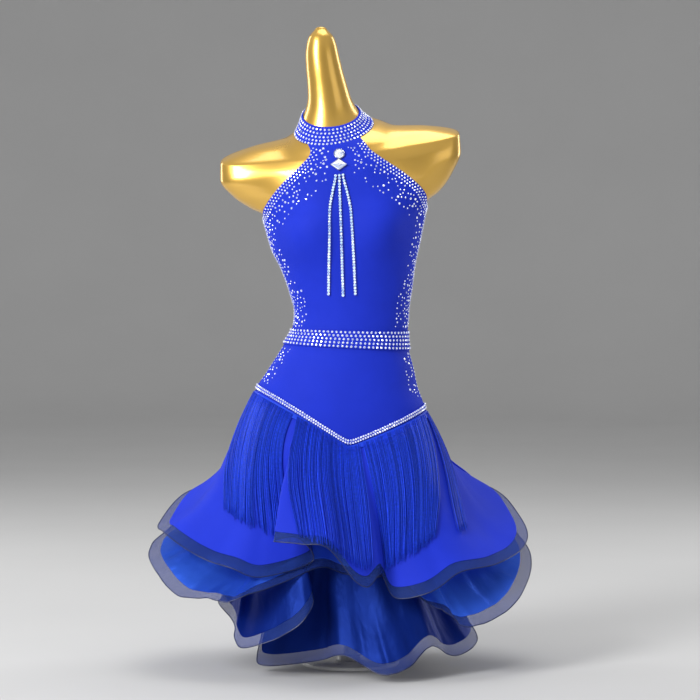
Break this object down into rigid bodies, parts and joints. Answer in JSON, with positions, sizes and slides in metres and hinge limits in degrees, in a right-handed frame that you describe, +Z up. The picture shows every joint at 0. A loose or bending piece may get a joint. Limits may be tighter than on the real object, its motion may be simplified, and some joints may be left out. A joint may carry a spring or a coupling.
{
  "type": "salsa dance dress on a limbless dress form",
  "caption": "Halter-neck salsa dance dress with a jewelled neckband, waist belt and V hip line, a fringe and layered flared skirts, on a limbless dress form with a pole and round base.",
  "frame": {"origin": "on the floor, in the flat underside of the round base, below the middle of the hips", "axes": "+Z up the form from the floor to the neck, -Y towards the front of the dress, +X towards the dress's left side as it is worn"},
  "size_m": [0.6918, 0.498, 1.152],
  "materials": {
    "form_torso": "glossy gold-coloured shell",
    "stand_base": "white enamel",
    "stand_pole": "white enamel",
    "bodice_front": "matt stretch jersey",
    "bodice_back": "matt stretch jersey",
    "neckband": "rows of cut crystal stones on a band",
    "waist_belt": "rows of cut crystal stones on a band",
    "hip_trim": "double row of cut crystal stones",
    "skirt_outer": "matt stretch jersey",
    "skirt_flounce": "bright satin",
    "skirt_petticoat": "bright satin",
    "braid_outer": "stiff translucent horsehair braid",
    "braid_flounce": "stiff translucent horsehair braid",
    "braid_petticoat": "stiff translucent horsehair braid",
    "fringe": "soft twisted thread",
    "chain_left": "row of cut crystal stones",
    "chain_middle": "row of cut crystal stones",
    "chain_right": "row of cut crystal stones",
    "pendant_round": "cut crystal",
    "pendant_square": "cut crystal"
  },
  "bodies": {
    "root": {"form_torso": "form_torso", "stand_base": "stand_base", "stand_pole": "stand_pole", "bodice_front": "bodice_front", "bodice_back": "bodice_back", "neckband": "neckband", "waist_belt": "waist_belt", "hip_trim": "hip_trim", "skirt_outer": "skirt_outer", "skirt_flounce": "skirt_flounce", "skirt_petticoat": "skirt_petticoat", "braid_outer": "braid_outer", "braid_flounce": "braid_flounce", "braid_petticoat": "braid_petticoat", "fringe": "fringe", "chain_left": "chain_left", "chain_middle": "chain_middle", "chain_right": "chain_right", "pendant_round": "pendant_round", "pendant_square": "pendant_square"}
  },
  "joints": []
}
